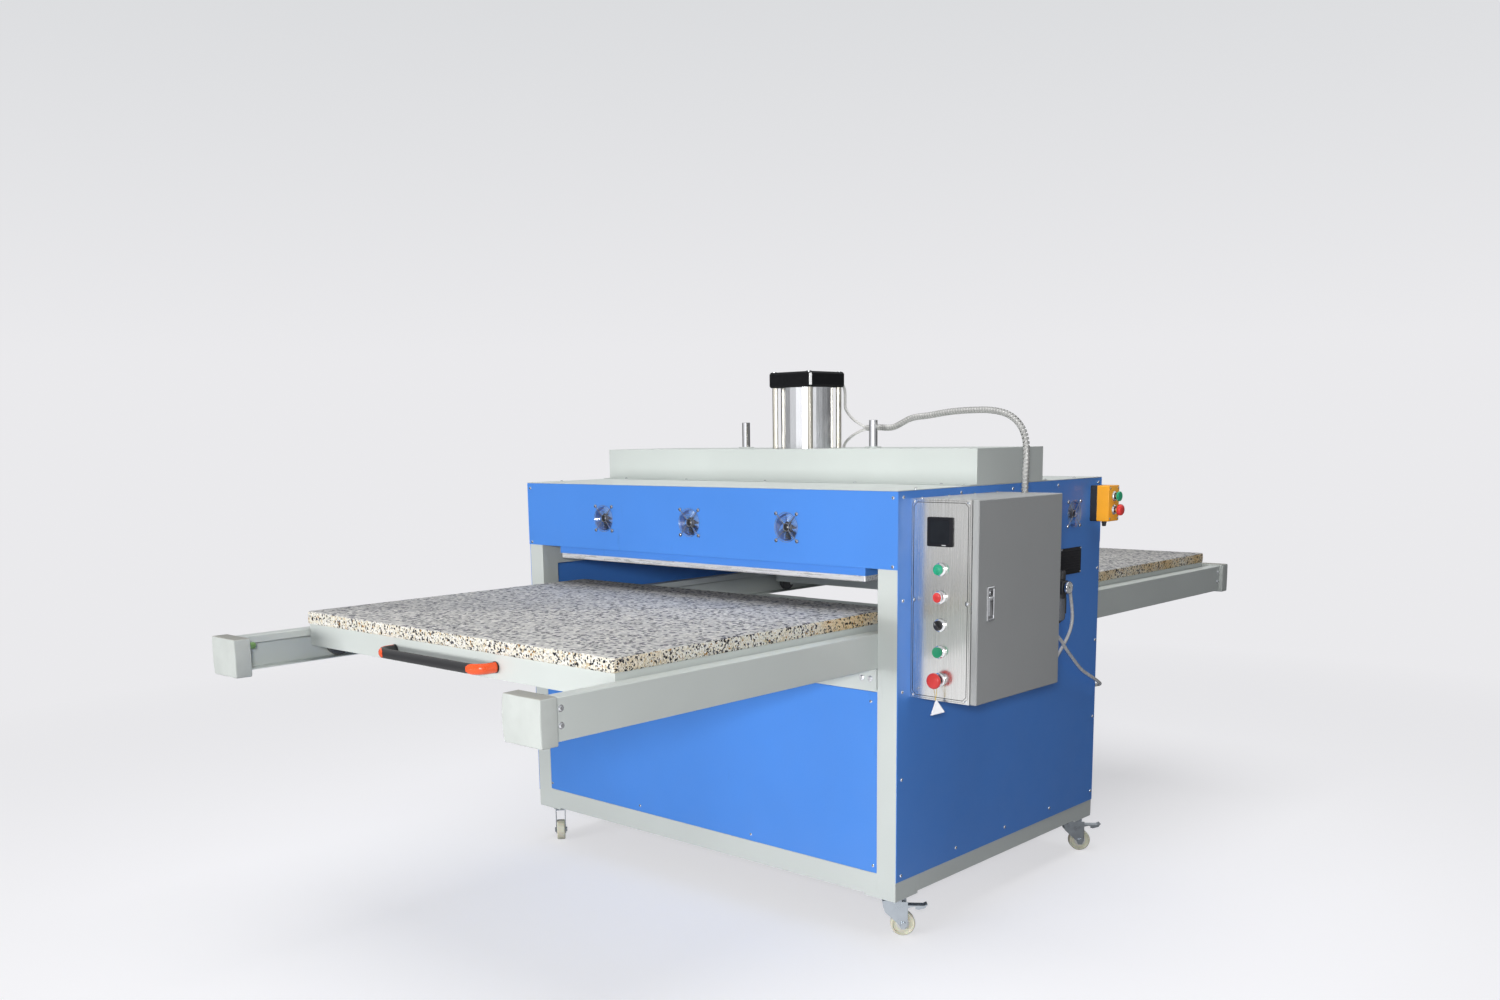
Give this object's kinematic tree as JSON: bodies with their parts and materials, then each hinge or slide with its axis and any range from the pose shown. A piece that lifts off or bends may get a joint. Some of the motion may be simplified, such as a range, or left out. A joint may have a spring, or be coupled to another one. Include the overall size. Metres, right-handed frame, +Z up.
{
  "type": "pneumatic heat press",
  "caption": "Pneumatic flatbed heat press with two pads that slide under one heated platen, on a wheeled cabinet with a control box.",
  "frame": {"origin": "on the floor, under the middle of the machine's bounding box", "axes": "+X towards the machine's right side, where the control box hangs, +Y from the front tray to the rear tray along the rails, +Z up"},
  "size_m": [1.6374, 3.244, 1.493],
  "materials": {
    "grey_paint": "light grey powder coat",
    "blue_paint": "blue powder coat, fine texture",
    "grey_box": "grey powder coat, fine texture",
    "platen_metal": "machined",
    "steel": "ground",
    "chrome": "hard chrome",
    "zinc": "zinc plated",
    "stainless": "brushed, with chrome collars and a green lens",
    "aluminium": "polished tube",
    "black_cap": "black anodised",
    "black_plastic": "moulded",
    "pad": "felt face on chipped sponge",
    "nylon": "cream nylon",
    "hose": "clear air hose",
    "red": "moulded",
    "green": "moulded",
    "orange": "moulded, on a black base",
    "electrics": "moulded modules on a plate"
  },
  "bodies": {
    "machine": {"base_frame": "grey_paint", "front_lower_panel": "blue_paint", "rear_lower_panel": "blue_paint", "left_side_panel": "blue_paint", "right_side_panel": "blue_paint", "front_head_panel": "blue_paint", "rear_head_panel": "blue_paint", "top_plate": "grey_paint", "beam_cover": "grey_paint", "head_beam": "grey_paint", "cylinder_base": "steel", "cylinder_barrel": "aluminium", "cylinder_top_cap": "black_cap", "rail_left": "grey_paint", "rail_right": "grey_paint", "rail_cap_front_left": "grey_paint", "rail_cap_front_right": "grey_paint", "rail_cap_rear_left": "grey_paint", "rail_cap_rear_right": "grey_paint", "control_box": "grey_box", "electrics": "electrics", "control_plate": "stainless", "touch_screen": "black_plastic", "button_station": "orange", "air_regulator": "black_plastic", "cylinder_hoses": "hose", "supply_hose": "hose"},
    "platen": {"platen": "platen_metal", "platen_shield": "blue_paint", "piston_rod": "chrome", "guide_rod_left": "chrome", "guide_rod_right": "chrome"},
    "front_tray": {"front_tray_pad": "pad", "front_tray_frame": "grey_paint", "front_tray_handle": "black_plastic"},
    "rear_tray": {"rear_tray_pad": "pad", "rear_tray_frame": "grey_paint", "rear_tray_handle": "black_plastic"},
    "control_door": {"control_door": "grey_box"},
    "door_latch": {"door_latch": "steel"},
    "front_fan_rotor_1": {"front_fan_rotor_1": "black_plastic"},
    "front_fan_rotor_2": {"front_fan_rotor_2": "black_plastic"},
    "front_fan_rotor_3": {"front_fan_rotor_3": "black_plastic"},
    "side_fan_rotor": {"side_fan_rotor": "black_plastic"},
    "power_button": {"power_button": "red"},
    "start_button": {"start_button": "green"},
    "emergency_stop": {"emergency_stop": "red"},
    "station_start_button": {"station_start_button": "green"},
    "station_stop_button": {"station_stop_button": "red"},
    "mode_selector": {"mode_selector": "black_plastic"},
    "caster_front_left_fork": {"caster_front_left_fork": "zinc"},
    "caster_front_left_wheel": {"caster_front_left_wheel": "nylon"},
    "caster_front_right_fork": {"caster_front_right_fork": "zinc"},
    "caster_front_right_wheel": {"caster_front_right_wheel": "nylon"},
    "caster_front_right_pedal": {"caster_front_right_brake_pedal": "zinc"},
    "caster_rear_left_fork": {"caster_rear_left_fork": "zinc"},
    "caster_rear_left_wheel": {"caster_rear_left_wheel": "nylon"},
    "caster_rear_right_fork": {"caster_rear_right_fork": "zinc"},
    "caster_rear_right_wheel": {"caster_rear_right_wheel": "nylon"},
    "caster_rear_right_pedal": {"caster_rear_right_brake_pedal": "zinc"}
  },
  "joints": [
    {"name": "platen_press", "type": "slide", "parent": "machine", "child": "platen", "axis": [0, 0, 1], "range_m": [-0.0755, 0]},
    {"name": "front_tray_slide", "type": "slide", "parent": "machine", "child": "front_tray", "axis": [0, 1, 0], "range_m": [-0.1725, 0.8845]},
    {"name": "rear_tray_slide", "type": "slide", "parent": "machine", "child": "rear_tray", "axis": [0, 1, 0], "range_m": [-0.93, 0.0155]},
    {"name": "control_door_hinge", "type": "hinge", "parent": "machine", "child": "control_door", "pos_m": [0.80245, -0.0594, 0.645], "axis": [0, 0, 1], "range_deg": [0, 110]},
    {"name": "door_latch_lift", "type": "hinge", "parent": "control_door", "child": "door_latch", "pos_m": [0.81465, -0.423, 0.931], "axis": [0, -1, 0], "range_deg": [0, 35]},
    {"name": "front_fan_rotor_1_spin", "type": "hinge", "parent": "machine", "child": "front_fan_rotor_1", "pos_m": [-0.45865, -0.5115, 1.0654], "axis": [0, 1, 0], "continuous": true},
    {"name": "front_fan_rotor_2_spin", "type": "hinge", "parent": "machine", "child": "front_fan_rotor_2", "pos_m": [-0.09865, -0.5115, 1.0654], "axis": [0, 1, 0], "continuous": true},
    {"name": "front_fan_rotor_3_spin", "type": "hinge", "parent": "machine", "child": "front_fan_rotor_3", "pos_m": [0.26135, -0.5115, 1.0654], "axis": [0, 1, 0], "continuous": true},
    {"name": "side_fan_rotor_spin", "type": "hinge", "parent": "machine", "child": "side_fan_rotor", "pos_m": [0.60885, 0.356, 1.0654], "axis": [1, 0, 0], "continuous": true},
    {"name": "power_button_press", "type": "slide", "parent": "machine", "child": "power_button", "axis": [0, 1, 0], "range_m": [0, 0.003], "stiffness_N_per_m": 250},
    {"name": "start_button_press", "type": "slide", "parent": "machine", "child": "start_button", "axis": [0, 1, 0], "range_m": [0, 0.003], "stiffness_N_per_m": 250},
    {"name": "emergency_stop_press", "type": "slide", "parent": "machine", "child": "emergency_stop", "axis": [0, 1, 0], "range_m": [0, 0.004]},
    {"name": "station_start_button_press", "type": "slide", "parent": "machine", "child": "station_start_button", "axis": [-1, 0, 0], "range_m": [0, 0.003], "stiffness_N_per_m": 250},
    {"name": "station_stop_button_press", "type": "slide", "parent": "machine", "child": "station_stop_button", "axis": [-1, 0, 0], "range_m": [0, 0.004]},
    {"name": "mode_selector_turn", "type": "hinge", "parent": "machine", "child": "mode_selector", "pos_m": [0.71035, -0.4673, 0.8365], "axis": [0, 1, 0], "range_deg": [-45, 45]},
    {"name": "caster_front_left_swivel", "type": "hinge", "parent": "machine", "child": "caster_front_left_fork", "pos_m": [-0.77065, -0.476, 0.11], "axis": [0, 0, 1], "continuous": true},
    {"name": "caster_front_left_roll", "type": "hinge", "parent": "caster_front_left_fork", "child": "caster_front_left_wheel", "pos_m": [-0.74767, -0.49528, 0.0325], "axis": [0.6428, 0.766, 0], "continuous": true},
    {"name": "caster_front_right_swivel", "type": "hinge", "parent": "machine", "child": "caster_front_right_fork", "pos_m": [0.57335, -0.476, 0.11], "axis": [0, 0, 1], "continuous": true},
    {"name": "caster_front_right_roll", "type": "hinge", "parent": "caster_front_right_fork", "child": "caster_front_right_wheel", "pos_m": [0.59529, -0.45554, 0.0325], "axis": [-0.682, 0.7314, 0], "continuous": true},
    {"name": "caster_front_right_brake", "type": "hinge", "parent": "caster_front_right_fork", "child": "caster_front_right_pedal", "pos_m": [0.59968, -0.45145, 0.0797], "axis": [-0.682, 0.7314, 0], "range_deg": [0, 10]},
    {"name": "caster_rear_left_swivel", "type": "hinge", "parent": "machine", "child": "caster_rear_left_fork", "pos_m": [-0.77065, 0.476, 0.11], "axis": [0, 0, 1], "continuous": true},
    {"name": "caster_rear_left_roll", "type": "hinge", "parent": "caster_rear_left_fork", "child": "caster_rear_left_wheel", "pos_m": [-0.74767, 0.45672, 0.0325], "axis": [0.6428, 0.766, 0], "continuous": true},
    {"name": "caster_rear_right_swivel", "type": "hinge", "parent": "machine", "child": "caster_rear_right_fork", "pos_m": [0.57335, 0.476, 0.11], "axis": [0, 0, 1], "continuous": true},
    {"name": "caster_rear_right_roll", "type": "hinge", "parent": "caster_rear_right_fork", "child": "caster_rear_right_wheel", "pos_m": [0.59529, 0.49646, 0.0325], "axis": [-0.682, 0.7314, 0], "continuous": true},
    {"name": "caster_rear_right_brake", "type": "hinge", "parent": "caster_rear_right_fork", "child": "caster_rear_right_pedal", "pos_m": [0.59968, 0.50055, 0.0797], "axis": [-0.682, 0.7314, 0], "range_deg": [0, 10]}
  ]
}
